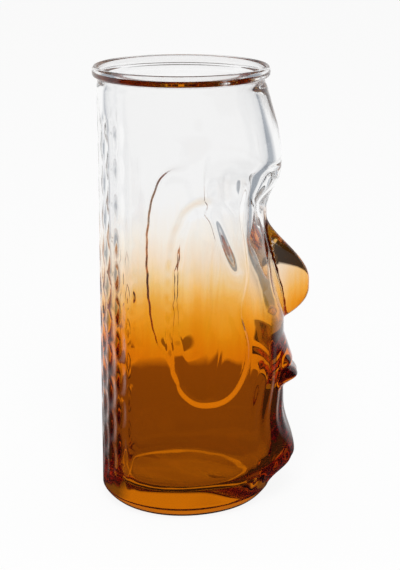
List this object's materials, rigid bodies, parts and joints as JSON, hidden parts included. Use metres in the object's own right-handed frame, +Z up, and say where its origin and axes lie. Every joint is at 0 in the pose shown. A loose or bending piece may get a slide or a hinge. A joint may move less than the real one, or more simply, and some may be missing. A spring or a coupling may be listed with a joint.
{
  "type": "cocktail glass",
  "caption": "Tall cocktail glass blown in the form of a carved long-eared head, clear at the round rim and shading to translucent amber at the thick foot.",
  "frame": {"origin": "centre of the round of the head and of the rim, on the plane of the foot", "axes": "+Z up through the mouth; the face looks along -Y; X runs from ear to ear"},
  "size_m": [0.0648, 0.0807, 0.165],
  "materials": {
    "glass": "gloss"
  },
  "bodies": {
    "root": {"glass": "glass"}
  },
  "joints": []
}
